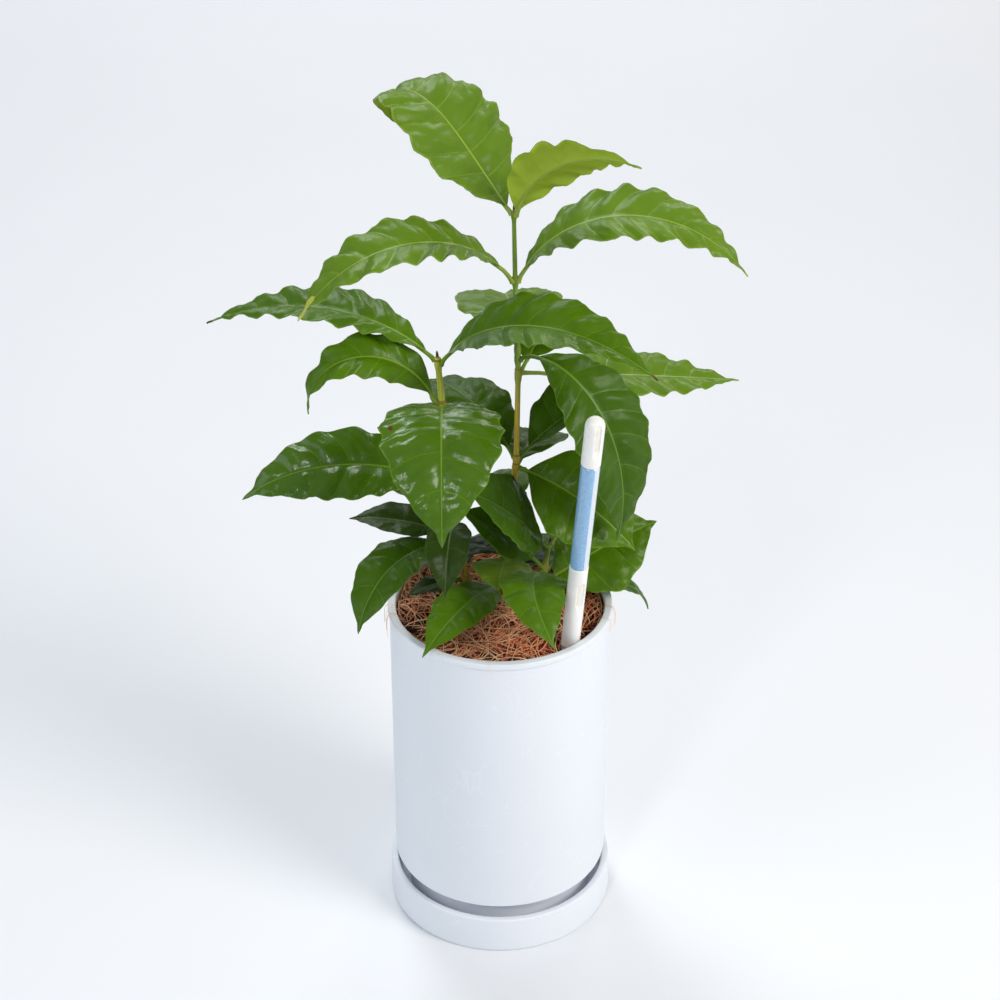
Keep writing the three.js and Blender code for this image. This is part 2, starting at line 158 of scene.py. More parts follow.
# The height at which each stem is green, and its green, olive and brown as screen colours
STEM_COLOURS = {
    "main": (392, (124, 156, 44), (200, 170, 50), (148, 122, 52)),
    "left": (375, (204, 208, 72), (194, 186, 60), (150, 104, 50)),
    "front": (250, (128, 148, 52), (122, 134, 50), (112, 100, 48)),
}
GREEN_BELOW = 30
GREEN_ABOVE = 15
WOOD_FROM = SOIL_TOP + 30
WOOD_TO = SOIL_TOP + 90

# Leaves: the second word of the name is the stem, and "at" the height where the stalk leaves
# it; "turn" is the way it points seen from above (0 right, 90 back, 180 left, -90 front) and
# "sweep" how far that turns by the tip; it starts at "rise" degrees above level and bends down
# by "fall", later for a higher "late"; stalk, blade length and width in mm; "roll" about the
# midrib, which grows by "twist" up to the tip; "fold" of each half up from it, the height of
# the margin's waves, and the leaf's tone.
LEAF_COLUMNS = ("name", "at", "turn", "sweep", "rise", "fall", "late",
                "stalk", "long", "wide", "roll", "twist", "fold", "wave", "tone")
LEAF_ROWS = [
    ("leaf_main_top_left", 498, 145, 0, 47, 215, 5, 6, 125, 80, 0, 0, 4, 2, "young"),
    ("leaf_main_top_right", 498, -36, 0, 76, 84, 0.82, 3, 102, 42, -40, 0, 8, 2, "young"),
    ("leaf_main_upper_left", 456, 200, 0, 62, 118, 0.86, 14, 141, 46, -10, 0, 8, 2.6, "young"),
    ("leaf_main_upper_right", 456, -10, 0, 72, 125, 0.9, 9, 155, 50, 14, 0, 6, 2.6, "young"),
    ("leaf_main_upper_back", 411, 95, 0, 21, 62, 1, 8, 112, 66, 0, 0, 2, 2, "young"),
    ("leaf_main_middle_front", 405, -31, 0, 78, 180, 0.36, 14, 140, 52, 24, 0, 4, 1.3, "deep"),
    ("leaf_main_middle_back", 393, 72, 0, 16, 50, 1, 16, 92, 46, 0, 0, 8, 2, "mid"),
    ("leaf_main_middle_right", 396, 17, 0, -9, 3, 1, 16, 130, 50, 8, 0, 6, 2, "young"),
    ("leaf_main_lower_right", 336, 36, 0, 36, 45, 1, 10, 84, 46, 0, 0, 24, 1.3, "deep"),
    ("leaf_main_lower_left", 336, 128, 0, 42, 64, 1, 8, 92, 48, 0, 0, 4, 1.3, "deep"),
    ("leaf_main_lower_back", 328, 72, 0, 16, 60, 1, 8, 72, 42, 0, 0, 10, 0.6, "deep"),
    ("leaf_main_lower_front", 330, -20, 0, -12, 36, 1, 6, 84, 62, 36, 0, 8, 0.6, "mid"),
    ("leaf_main_low_back", 292, 100, 0, 10, 50, 1, 8, 86, 44, 0, 0, 8, 1.3, "deep"),
    ("leaf_left_low_front", 290, -95, 0, 30, 104, 1, 8, 60, 30, 0, 0, 20, 0.6, "dark"),
    ("leaf_main_foot_left", 258, 140, 0, -4, 16, 1, 6, 42, 32, 0, 0, 8, 0.6, "dark"),
    ("leaf_main_foot_front", 235, 239, 0, 24, 48, 1, 6, 93, 35, -8, 0, 6, 0.6, "fresh"),
    ("leaf_main_foot_back", 239, 56, 0, 10, 30, 1, 8, 66, 34, 0, 0, 8, 0.6, "dark"),
    ("leaf_left_top_left", 404, 162, 0, 50, 79, 0.62, 8, 152, 44, -4, 0, 10, 2.6, "mid"),
    ("leaf_left_top_right", 402, -32, 0, 65, 92, 0.72, 10, 154, 50, 30, -30, 12, 1.6, "mid"),
    ("leaf_left_middle_left", 374, 191, 0, 66, 164, 1.45, 10, 108, 32, -62, 64, 6, 2.6, "mid"),
    ("leaf_left_middle_front", 373, -89, 0, 42, 128, 1, 4, 126, 72, 0, 0, 2, 0.6, "bright"),
    ("leaf_left_lower_left", 319, 184, 0, 23, 63, 1.35, 8, 126, 50, -24, -16, 4, 2, "bright"),
    ("leaf_left_lower_back", 322, 84, 0, 24, 60, 1, 10, 98, 46, 0, 0, 8, 1.3, "deep"),
    ("leaf_left_low_left", 276, 180, 0, 27, 32, 1, 8, 60, 30, -12, 0, 8, 0.6, "dark"),
    ("leaf_left_low_droop", 270, 197, 52, 14, 74, 1, 8, 87, 40, 0, 0, 8, 0.6, "deep"),
    ("leaf_left_low_back", 280, 122, 0, 28, 56, 1, 10, 92, 42, 0, 0, 8, 1.3, "deep"),
    ("leaf_left_foot_left", 240, 200, 0, 8, 30, 1, 6, 32, 18, 0, 0, 8, 0.6, "dark"),
    ("leaf_left_foot_back", 238, 108, 0, 6, 24, 1, 8, 62, 34, 0, 0, 8, 0.6, "dark"),
    ("leaf_front_top_left", 279, 213, 0, 56, 22, 1, 6, 80, 56, -34, 0, 8, 0.6, "deep"),
    ("leaf_front_top_back", 280, 50, 0, 40, 20, 1, 6, 86, 42, 0, 0, 10, 0.6, "young"),
    ("leaf_front_low_left", 264, 200, 0, 52, 16, 1, 10, 66, 34, -35, 0, 8, 0.6, "deep"),
    ("leaf_front_low_back", 256, 64, 0, 4, 34, 1, 10, 84, 38, 0, 0, 8, 1.3, "deep"),
    ("leaf_front_low_right", 249, 22, 0, 27, 14, 1, 8, 76, 60, 40, 0, 6, 0.6, "mid"),
    ("leaf_front_low_front", 260, -113, 56, 34, 76, 1, 5, 82, 40, 0, 0, 6, 0.6, "fresh"),
    ("leaf_main_foot_right", 260, -99, 0, 14, 34, 1, 6, 34, 38, 0, 0, 6, 0.6, "dull"),
    ("leaf_front_foot_right", 238, 18, 0, 14, 92, 1.8, 10, 79, 30, 0, 0, 8, 0.6, "deep"),
]
LEAVES = [dict(zip(LEAF_COLUMNS, row), stem=row[0].split("_")[1], odd=1.7 * i)
          for i, row in enumerate(LEAF_ROWS)]
LEAF_STEP = 1.5
WAVE_LENGTH = 18.0
WAVE_LAG = 1.3
# The margin's waves here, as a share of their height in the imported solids
WAVE_SHARE = 0.7
STALK_RADIUS = 1.25
STALK_SIDES = 12
STALK_RINGS = 34
STALK_FLARE = 0.5
STALK_SUNK = 0.4
# The stalk runs on under this share of the blade, and loses this share of its radius there
STALK_END = 0.3
STALK_THINNING = 0.65
LEAF_THICKNESS = 0.42
OVAL_END = 0.93
DRIP_WIDTH = 0.14
ROW_STEP = 1.6
COLUMNS = (0.0, 0.1, 0.22, 0.35, 0.48, 0.6, 0.72, 0.83, 0.92, 0.975, 1.0)
VEIN_WIDTH = 0.8
VEIN_SLANT = 0.1
# How far the face swells between its veins, how uneven it is as a share of the blade's width,
# and how far each half arches and its margin is scalloped as shares of that half
PUCKER = 1.5
RUMPLE = 0.013
CAMBER = 0.07
SCALLOP = 0.04
MIDRIB_WIDTH = 1.5
MIDRIB_RISE = 0.2
MIDRIB_DEPTH = 1.1

# Tips that have dried: colour, and share of the blade
DRY_TIPS = {
    "leaf_left_top_left": ("brown", 0.035),
    "leaf_left_top_right": ("brown", 0.03),
    "leaf_main_upper_left": ("yellow", 0.12),
    "leaf_left_low_left": ("brown", 0.02),
    "leaf_main_upper_right": ("yellow", 0.02),
}
# Spots on blades: share of the length, place across from -1 to 1, and radius
SPOTS = {"leaf_left_middle_front": [(0.35, 0.83, 0.8)]}
SPOT_SIDES = 18
# A spot's rings: share of its radius and height above the face; the first two make the halo
SPOT_RINGS = [(1.9, -0.25), (1.9, 0.03), (1, 0.12), (0.8, 0.16), (0.3, 0.2)]
HALO_RINGS = 2

# Camera, as the photograph was taken
CAMERA_PLACE = Vector((0, -1.077, 0.944))
CAMERA_PITCH = math.radians(30.6)
CAMERA_LENS = 72
CAMERA_SENSOR = 36

# Floor and light: each light's name, place and target in metres, size, power and colour
FLOOR_HALF = 6000
ROOM_LIGHT = 0.36
ROOM_COLOUR = (0.93, 0.96, 1.0)
WHITE = (1.0, 1.0, 1.0)
PLANT_MIDDLE = (0, 0, 0.3)
LIGHTS = [
    ("key_right", (1.3, -0.9, 1.5), PLANT_MIDDLE, 0.9, 24, (1.0, 0.95, 0.895)),
    ("fill_left", (-1.4, -0.7, 1.0), PLANT_MIDDLE, 1.0, 5, (0.82, 0.91, 1.0)),
    ("top_back", (-0.4, 0.9, 1.9), PLANT_MIDDLE, 0.6, 10.5, (0.97, 0.99, 1.0)),
    ("window_front", (-0.6, -1.5, 1.6), PLANT_MIDDLE, 0.3, 6, WHITE),
    ("side_right", (1.6, -0.45, 0.5), PLANT_MIDDLE, 0.7, 2.6, WHITE),
    ("far_left", (-0.9, 2.8, 2.0), (-0.8, 2.6, 0), 1.4, 20, (0.95, 0.975, 1.0)),
    ("far_right", (0.9, 2.8, 2.0), (0.8, 2.6, 0), 1.4, 21, (1.0, 0.955, 0.92)),
]


# Meshes

def mesh_object(name, points, faces, materials, indices=None, sharp=math.radians(45)):
    mesh = bpy.data.meshes.new(name)
    mesh.from_pydata((np.asarray(points, float) * MM).tolist(), [], faces)
    for material in materials:
        mesh.materials.append(material)
    if indices is not None:
        mesh.polygons.foreach_set("material_index", indices)
    mesh.polygons.foreach_set("use_smooth", [True] * len(mesh.polygons))
    mesh.set_sharp_from_angle(angle=sharp)
    mesh.update()
    obj = bpy.data.objects.new(name, mesh)
    bpy.context.scene.collection.objects.link(obj)
    return obj


def dress(obj, slot, *nodes):
    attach(obj, "root")
    if nodes:
        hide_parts(*nodes)


class Builder:
    """Gathers the points and faces of several closed shapes into one mesh."""

    def __init__(self):
        self.points = []
        self.faces = []
        self.indices = []
        self.count = 0

    def add(self, points, faces, indices):
        self.points.append(np.asarray(points, float))
        self.faces.extend(tuple(v + self.count for v in face) for face in faces)
        self.indices.extend(indices)
        self.count += len(points)

    def add_tube(self, line, radii, sides, index=0):
        faces = tube_faces(len(line), sides)
        self.add(tube_points(line, radii, sides), faces, [index] * len(faces))

    def build(self, name, materials, **options):
        return mesh_object(name, np.vstack(self.points), self.faces, materials, self.indices, **options)


def tube_faces(rings, sides):
    """Faces of a tube of rings, closed by a face at each end."""
    faces = []
    for i in range(rings - 1):
        for j in range(sides):
            a = i * sides + j
            b = i * sides + (j + 1) % sides
            faces.append((a, b, b + sides, a + sides))
    last = (rings - 1) * sides
    faces.append(tuple(range(sides - 1, -1, -1)))
    faces.append(tuple(range(last, last + sides)))
    return faces


def tube_points(centres, radii, sides):
    """Rings round a line, with their sides kept from twisting along it."""
    centres = np.asarray(centres, float)
    along = np.gradient(centres, axis=0)
    along /= np.linalg.norm(along, axis=1)[:, None]
    guide = np.array([0.0, 0, 1]) if abs(along[0][2]) < 0.9 else np.array([1.0, 0, 0])
    angles = np.arange(sides) * TAU / sides
    points = []
    for centre, way, radius in zip(centres, along, radii):
        across = np.cross(guide, way)
        across /= np.linalg.norm(across)
        up = np.cross(way, across)
        guide = up
        ring = centre + radius * (np.outer(np.cos(angles), across) + np.outer(np.sin(angles), up))
        points.append(ring)
    return np.vstack(points)


def rounded(profile, radius):
    """A profile whose inner corners are rounded by a small radius."""
    result = [profile[0]]
    for before, corner, after in zip(profile, profile[1:], profile[2:]):
        before, corner, after = (np.array(p, float) for p in (before, corner, after))
        reach_in = min(radius, np.linalg.norm(before - corner) * 0.45)
        reach_out = min(radius, np.linalg.norm(after - corner) * 0.45)
        start = corner + (before - corner) / np.linalg.norm(before - corner) * reach_in
        end = corner + (after - corner) / np.linalg.norm(after - corner) * reach_out
        for t in np.linspace(0, 1, CORNER_STEPS):
            result.append(tuple((1 - t) ** 2 * start + 2 * t * (1 - t) * corner + t ** 2 * end))
    result.append(profile[-1])
    return result


def lathe(name, profile, material):
    """A closed turned shape; the profile starts and ends on the axis."""
    sides = ROUND_SIDES
    angles = np.arange(sides) * TAU / sides
    points = [(0, 0, profile[0][1]), (0, 0, profile[-1][1])]
    rings = profile[1:-1]
    for radius, z in rings:
        points.extend((radius * math.cos(a), radius * math.sin(a), z) for a in angles)
    faces = []
    for j in range(sides):
        k = (j + 1) % sides
        faces.append((0, 2 + k, 2 + j))
        for i in range(len(rings) - 1):
            low = 2 + i * sides
            high = low + sides
            faces.append((low + j, low + k, high + k, high + j))
        top = 2 + (len(rings) - 1) * sides
        faces.append((1, top + j, top + k))
    return mesh_object(name, points, faces, [material])


# Materials

def linear(*screen):
    """A screen colour from 0 to 255 as the linear colour that a shader takes."""
    values = [c / 255 for c in screen]
    return tuple(c / 12.92 if c <= 0.04045 else ((c + 0.055) / 1.055) ** 2.4 for c in values) + (1.0,)


class Finish:
    """A node material on the principled shader, with helpers for its colour and bump."""

    def __init__(self, name, roughness, **sockets):
        self.material = bpy.data.materials.new(name)
        self.material.use_nodes = True
        self.tree = self.material.node_tree
        self.shader = self.tree.nodes["Principled BSDF"]
        self.shader.inputs["Roughness"].default_value = roughness
        for socket, value in sockets.items():
            self.shader.inputs[socket.replace("_", " ")].default_value = value
        self.place = self.tree.nodes.new("ShaderNodeTexCoord").outputs["Object"]
        self.bump_normal = None

    def link(self, source, target):
        self.tree.links.new(source, target)

    def noise(self, scale, detail=3.0, stretch=(1, 1, 1), distortion=0.0):
        mapping = self.tree.nodes.new("ShaderNodeMapping")
        mapping.inputs["Scale"].default_value = stretch
        self.link(self.place, mapping.inputs["Vector"])
        node = self.tree.nodes.new("ShaderNodeTexNoise")
        node.inputs["Scale"].default_value = scale
        node.inputs["Detail"].default_value = detail
        node.inputs["Distortion"].default_value = distortion
        self.link(mapping.outputs["Vector"], node.inputs["Vector"])
        return node.outputs["Fac"]

    def cells(self, scale):
        node = self.tree.nodes.new("ShaderNodeTexVoronoi")
        node.inputs["Scale"].default_value = scale
        self.link(self.place, node.inputs["Vector"])
        return node.outputs["Distance"]

    def rise(self, low, high):
        """From 0 at one height to 1 at another, both in mm."""
        split = self.tree.nodes.new("ShaderNodeSeparateXYZ")
        self.link(self.place, split.inputs["Vector"])
        node = self.tree.nodes.new("ShaderNodeMapRange")
        node.inputs["From Min"].default_value = low * MM
        node.inputs["From Max"].default_value = high * MM
        self.link(split.outputs["Z"], node.inputs["Value"])
        return node.outputs["Result"]

    def ramp(self, factor, *stops):
        node = self.tree.nodes.new("ShaderNodeValToRGB")
        elements = node.color_ramp.elements
        while len(elements) < len(stops):
            elements.new(0.5)
        for element, (position, colour) in zip(elements, stops):
            element.position = position
            element.color = colour
        self.link(factor, node.inputs["Fac"])
        return node.outputs["Color"]

    def mix(self, factor, first, second):
        node = self.tree.nodes.new("ShaderNodeMix")
        node.data_type = "RGBA"
        self.link(factor, node.inputs["Factor"])
        for value, socket in ((first, node.inputs["A"]), (second, node.inputs["B"])):
            if isinstance(value, tuple):
                socket.default_value = value
            else:
                self.link(value, socket)
        return node.outputs["Result"]

    def colour(self, source):
        self.link(source, self.shader.inputs["Base Color"])

    def roughen(self, factor, low, high):
        node = self.tree.nodes.new("ShaderNodeMapRange")
        node.inputs["To Min"].default_value = low
        node.inputs["To Max"].default_value = high
        self.link(factor, node.inputs["Value"])
        self.link(node.outputs["Result"], self.shader.inputs["Roughness"])

    def bump(self, height, distance, strength=1.0):
        node = self.tree.nodes.new("ShaderNodeBump")
        node.inputs["Distance"].default_value = distance
        node.inputs["Strength"].default_value = strength
        self.link(height, node.inputs["Height"])
        if self.bump_normal is not None:
            self.link(self.bump_normal, node.inputs["Normal"])
        self.bump_normal = node.outputs["Normal"]
        self.link(self.bump_normal, self.shader.inputs["Normal"])


def grey(value):
    return (value, value, value, 1.0)


def pot_material():
    """A matt white with faint clouds, hairline streaks and small specks."""
    finish = Finish("pot_white", 0.5)
    streaks = finish.ramp(finish.noise(20, 7.0, (1, 1, 0.8), 1.2),
                          (0.494, grey(0)), (0.5, grey(0.6)), (0.506, grey(0)))
    clouds = finish.noise(9, 4.0)
    base = finish.mix(clouds, linear(228, 233, 240), linear(234, 239, 246))
    lit = finish.mix(streaks, base, linear(238, 243, 249))
    specks = finish.ramp(finish.cells(150), (0.02, grey(1)), (0.035, grey(0)))
    finish.colour(finish.mix(specks, lit, linear(206, 212, 220)))
    finish.roughen(clouds, 0.42, 0.56)
    finish.bump(streaks, 0.00012, 0.5)
    finish.bump(finish.noise(420, 4.0), 0.00008, 0.6)
    return finish.material


def soil_material():
    finish = Finish("soil", 0.95)
    finish.colour(finish.mix(finish.noise(260, 5.0), linear(38, 26, 18), linear(78, 56, 40)))
    finish.bump(finish.noise(340, 5.0), 0.0012)
    return finish.material


def coir_bed_shade_material():
    finish = Finish("coir_bed", 0.95)
    # Near-black browns: painted shade for the gaps between the loose fibres, not the coir's own colour.
    finish.colour(finish.mix(finish.noise(420, 5.0, (1, 1, 0.4)), linear(18, 7, 4), linear(50, 22, 12)))
    finish.bump(finish.noise(700, 4.0), 0.001)
    return finish.material


def fibre_material(kind):
    _, _, low, high = FIBRE_KINDS[kind]
    finish = Finish("coir_" + kind, 0.62)
    finish.colour(finish.mix(finish.noise(120, 3.0), linear(*low), linear(*high)))
    finish.bump(finish.noise(2600, 2.0), 0.00004)
    return finish.material


def stick_material():
    finish = Finish("stick_white", 0.34, Subsurface_Weight=0.15, Subsurface_Scale=0.004)
    finish.colour(finish.mix(finish.noise(60, 3.0), linear(240, 240, 236), linear(247, 247, 244)))
    finish.bump(finish.noise(900, 3.0), 0.00003)
    return finish.material


def slot_material():
    finish = Finish("stick_slot", 0.6)
    finish.colour(finish.mix(finish.noise(500, 3.0), linear(232, 229, 217), linear(240, 237, 227)))
    return finish.material


def window_material(name, low, high):
    """The glossy sleeve, finely speckled by the fibres of the strip behind it."""
    finish = Finish(name, 0.16, Coat_Weight=0.5, Coat_Roughness=0.1)
    grain = finish.ramp(finish.noise(900, 4.0), (0.35, grey(0)), (0.65, grey(1)))
    finish.colour(finish.mix(grain, linear(*low), linear(*high)))
    return finish.material


def darker(colour):
    return tuple(c * 0.7 for c in colour[:3]) + (1.0,)


def stem_material(name):
    """A stem that is woody below, olive higher up and green near its top."""
    green_height, green, olive, brown = STEM_COLOURS[name]
    green, olive, brown = linear(*green), linear(*olive), linear(*brown)
    finish = Finish("stem_" + name, 0.55)
    greenness = finish.rise(green_height - GREEN_BELOW, green_height + GREEN_ABOVE)
    streaks = finish.noise(520, 3.0, (1, 1, 0.06))
    woody = finish.mix(finish.rise(WOOD_FROM, WOOD_TO), brown, olive)
    bare = finish.mix(greenness, woody, green)
    shaded = finish.mix(greenness, darker(olive), darker(green))
    finish.colour(finish.mix(finish.ramp(streaks, (0.42, grey(0)), (0.6, grey(1))), bare, shaded))
    finish.bump(streaks, 0.0003, 0.8)
    finish.bump(finish.noise(900, 4.0), 0.0001)
    return finish.material


def blade_material(name, low, high, roughness, shine):
    """The glossy upper face of a leaf: faint mottling, and a skin that breaks up its highlights."""
    finish = Finish("leaf_" + name, roughness, Specular_IOR_Level=shine)
    finish.colour(finish.mix(finish.noise(46, 4.0), linear(*low), linear(*high)))
    finish.roughen(finish.noise(170, 3.0), roughness - 0.08, roughness + 0.1)
    finish.bump(finish.noise(150, 2.0), 0.0006, 0.55)
    finish.bump(finish.noise(900, 3.0), 0.00008, 0.7)
    return finish.material


def plain_leaf_material(name, low, high, roughness):
    """The other parts of a leaf, and the scars and buds of the stems."""
    finish = Finish("leaf_" + name, roughness, Specular_IOR_Level=0.24)
    finish.colour(finish.mix(finish.noise(90, 3.0), linear(*low), linear(*high)))
    finish.bump(finish.noise(900, 3.0), 0.00006)
    return finish.material


# Upper face low and high, midrib, underside, as screen colours, and the upper face's roughness
TONES = {
    "young": ((80, 114, 14), (106, 138, 34), (150, 172, 74), (160, 184, 50), 0.34),
    "mid": ((62, 98, 4), (88, 124, 14), (124, 152, 50), (110, 138, 40), 0.32),
    "bright": ((56, 92, 4), (78, 114, 10), (112, 146, 44), (108, 140, 40), 0.23),
    "fresh": ((62, 96, 4), (84, 122, 12), (100, 138, 30), (104, 134, 40), 0.36),
    "deep": ((50, 82, 4), (70, 104, 14), (100, 132, 42), (84, 112, 40), 0.34),
    # The dark tone of the low leaves is partly their own deep green and partly painted shade under the
    # canopy.
    "dark": ((32, 50, 8), (48, 70, 18), (72, 96, 40), (58, 82, 34), 0.36),
    "dull": ((92, 120, 22), (112, 140, 36), (128, 154, 56), (104, 132, 46), 0.45),
}
# How far the colours of the parts go towards the midrib's
MIDRIB_SHADE = 0.7
VEIN_TINT = 0.22
VEIN_SHADE = 0.6
RIM_TINT = 0.4
UNDER_TINT = 0.3
# The specular level of the upper face, where it isn't the usual one
SHINE = {"bright": 0.37, "deep": 0.16, "dark": 0.14}
USUAL_SHINE = 0.2
# The order of a leaf's materials
BLADE, MIDRIB, VEIN, UNDER, RIM, TIP, HALO, SPOT = range(8)


def between(first, second, share):
    return tuple(a + (b - a) * share for a, b in zip(first, second))


def leaf_materials():
    """The materials of each tone, from BLADE to RIM in the order of a leaf's materials."""
    sets = {}
    for tone, (low, high, rib, under, roughness) in TONES.items():
        vein = between(high, rib, VEIN_TINT)
        shine = SHINE.get(tone, USUAL_SHINE)
        sets[tone] = [
            blade_material(tone, low, high, roughness, shine),
            plain_leaf_material(tone + "_midrib", between(high, rib, MIDRIB_SHADE), rib, roughness + 0.08),
            plain_leaf_material(tone + "_vein", between(low, vein, VEIN_SHADE), vein, roughness),
            plain_leaf_material(tone + "_under", under, between(under, rib, UNDER_TINT), 0.5),
            plain_leaf_material(tone + "_rim", high, between(high, rib, RIM_TINT), 0.4),
        ]
    return sets


def blemish_materials():
    return {
        "brown": plain_leaf_material("tip_brown", (74, 44, 28), (98, 62, 38), 0.6),
        "yellow": plain_leaf_material("tip_yellow", (168, 176, 62), (194, 198, 92), 0.45),
        "halo": plain_leaf_material("leaf_halo", (132, 134, 30), (148, 146, 42), 0.4),
        "spot": plain_leaf_material("leaf_spot", (70, 40, 12), (92, 56, 16), 0.5),
    }


# Pot and saucer

def saucer_profile():
    inner = SAUCER_LIP_RADIUS - SAUCER_WALL
    return [
        (0, 0),
        (SAUCER_FOOT_RADIUS - SAUCER_EDGE / 2, 0),
        (SAUCER_FOOT_RADIUS, SAUCER_EDGE),
        (SAUCER_LIP_RADIUS, SAUCER_HEIGHT),
        (inner, SAUCER_HEIGHT),
        (inner - SAUCER_EDGE / 2, SAUCER_FLOOR),
        (0, SAUCER_FLOOR),
    ]


def pot_profile():
    foot = SAUCER_FLOOR + GAP
    return [
        (0, foot + FOOT_RECESS),
        (FOOT_RECESS_RADIUS, foot + FOOT_RECESS),
        (FOOT_RECESS_RADIUS, foot),
        (FOOT_RADIUS, foot),
        (FOOT_RADIUS, FOOT_TOP),
        (POT_LOW_RADIUS, POT_EDGE_HEIGHT),
        (POT_TOP_RADIUS, POT_HEIGHT - RIM_HEIGHT - RIM_STEP),
        (RIM_RADIUS, POT_HEIGHT - RIM_HEIGHT),
        (RIM_RADIUS, POT_HEIGHT),
        (POT_INNER_RADIUS, POT_HEIGHT),
        (POT_INNER_RADIUS, POT_FLOOR_TOP),
        (0, POT_FLOOR_TOP),
    ]


def make_pot():
    material = pot_material()
    pot = lathe("pot_shell", rounded(pot_profile(), POT_ROUNDING), material)
    dress(pot, "pot_white", "pot")
    saucer = lathe("saucer_dish", rounded(saucer_profile(), SAUCER_ROUNDING), material)
    dress(saucer, "pot_white", "saucer")


# Coir mat

def make_soil():
    """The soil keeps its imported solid, with a material of its own."""
    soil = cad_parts["soil"].data
    soil.materials.clear()
    soil.materials.append(soil_material())


def coir_height(x, y):
    """The top of the mat, which is lumpy and stands up a little round its edge."""
    lump = math.sin(x / 7 + 1) * math.cos(y / 9) + 0.6 * math.sin((x - y) / 5)
    edge = COIR_EDGE * (math.hypot(x, y) / COIR_RADIUS) ** 8
    return COIR_TOP - 1 + COIR_LUMP * lump + edge


def make_coir_bed():
    """The mat under the loose fibres, a little lower than their tops; its near-black is painted shade."""
    floor = SOIL_TOP + GAP
    points = [(0, 0, floor), (0, 0, coir_height(0, 0) - COIR_SINK)]
    faces = []
    for ring in range(1, COIR_RINGS + 1):
        for side in range(COIR_SIDES):
            angle = TAU * side / COIR_SIDES
            x = COIR_RADIUS * ring / COIR_RINGS * math.cos(angle)
            y = COIR_RADIUS * ring / COIR_RINGS * math.sin(angle)
            points.append((x, y, coir_height(x, y) - COIR_SINK))
    for side in range(COIR_SIDES):
        angle = TAU * side / COIR_SIDES
        points.append((COIR_RADIUS * math.cos(angle), COIR_RADIUS * math.sin(angle), floor))
    low = 2 + COIR_RINGS * COIR_SIDES
    for side in range(COIR_SIDES):
        k = (side + 1) % COIR_SIDES
        faces.append((1, 2 + side, 2 + k))
        for ring in range(COIR_RINGS):
            a = 2 + ring * COIR_SIDES
            faces.append((a + side, a + COIR_SIDES + side, a + COIR_SIDES + k, a + k))
        faces.append((0, low + k, low + side))
    dress(mesh_object("coir_bed", points, faces, [coir_bed_shade_material()]), "coir", "coir_mat")


def fibre_line(rng, lift):
    """A loose strand lying on the mat, turned back where it meets the pot's wall."""
    reach = COIR_RADIUS - 4 * GAP
    radius = reach * math.sqrt(rng.random())
    angle = TAU * rng.random()
    x = radius * math.cos(angle)
    y = radius * math.sin(angle)
    comb = math.pi / 2 + 0.4 * math.sin(x / 19 + 0.7) + 0.35 * math.cos(y / 15 + x / 31)
    heading = comb + rng.normal(0, FIBRE_SPREAD)
    bend = rng.normal(0, FIBRE_BEND)
    step = rng.uniform(*FIBRE_LENGTH) / FIBRE_STEPS
    arch = rng.uniform(*FIBRE_ARCH)
    points = []
    for i in range(FIBRE_STEPS + 1):
        t = i / FIBRE_STEPS
        points.append((x, y, coir_height(x, y) + lift + arch * math.sin(math.pi * t) - 0.9))
        heading += bend * step + rng.normal(0, FIBRE_KINK)
        x += step * math.cos(heading)
        y += step * math.sin(heading)
        out = math.hypot(x, y)
        if out > reach:
            x *= reach / out
            y *= reach / out
            heading += 0.5
    return points


def softened(line):
    """A line with its corners cut twice."""
    for _ in range(2):
        ahead = line[:-1] * 0.75 + line[1:] * 0.25
        behind = line[:-1] * 0.25 + line[1:] * 0.75
        cut = np.stack([ahead, behind], axis=1).reshape(-1, 3)
        line = np.vstack([line[:1], cut, line[-1:]])
    return line


def stray_line(rng, angle):
    """A strand that climbs out over the pot's rim and hangs down outside."""
    radius = POT_INNER_RADIUS + np.array(STRAY_OUT)
    height = POT_HEIGHT + np.array(STRAY_UP)
    hang = rng.uniform(0.1, 1.0)
    height[4:] = height[4] + (height[4:] - height[4]) * hang
    along = np.arange(len(radius))
    angles = angle + rng.normal(0, 0.012) * along + rng.normal(0, 0.0016) * along ** 2
    return softened(np.stack([radius * np.cos(angles), radius * np.sin(angles), height], axis=1))


def make_fibres():
    rng = np.random.default_rng(SEED)
    for kind, (count, lift, _, _) in FIBRE_KINDS.items():
        builder = Builder()
        for _ in range(count):
            line = fibre_line(rng, lift + rng.uniform(-0.4, 0.5))
            thick = rng.uniform(*FIBRE_RADIUS)
            radii = thick * np.array([0.5] + [1] * (FIBRE_STEPS - 1) + [0.4])
            builder.add_tube(line, radii, FIBRE_SIDES)
        if kind == "pale":
            add_strays(builder, rng)
        fibres = builder.build("coir_fibres_" + kind, [fibre_material(kind)], sharp=math.pi)
        dress(fibres, "coir", "coir_mat")


def add_strays(builder, rng):
    for _ in range(STRAY_FIBRES):
        side = rng.choice([*STRAY_BUNCHES, TAU * rng.random()])
        line = stray_line(rng, side + rng.normal(0, 0.16))
        builder.add_tube(line, [rng.uniform(*STRAY_RADIUS)] * len(line), STRAY_SIDES)


# Moisture stick

def stick_frame():
    along = (STICK_TOP - STICK_FOOT) / np.linalg.norm(STICK_TOP - STICK_FOOT)
    front = np.array([0.0, -1, 0])
    front -= along * front.dot(along)
    front /= np.linalg.norm(front)
    return along, front, np.cross(along, front)


def slot_press(height, angle, slot):
    """How far a point on the stick is pressed in by a slot with round ends, from 0 to 1."""
    length, width, middle, turn = slot
    across = STICK_RADIUS * (angle - turn)
    past = max(0.0, abs(height - middle) - (length - width) / 2)
    inside = width / 2 - math.hypot(past, across)
    return min(1.0, max(0.0, inside / SLOT_SLOPE))


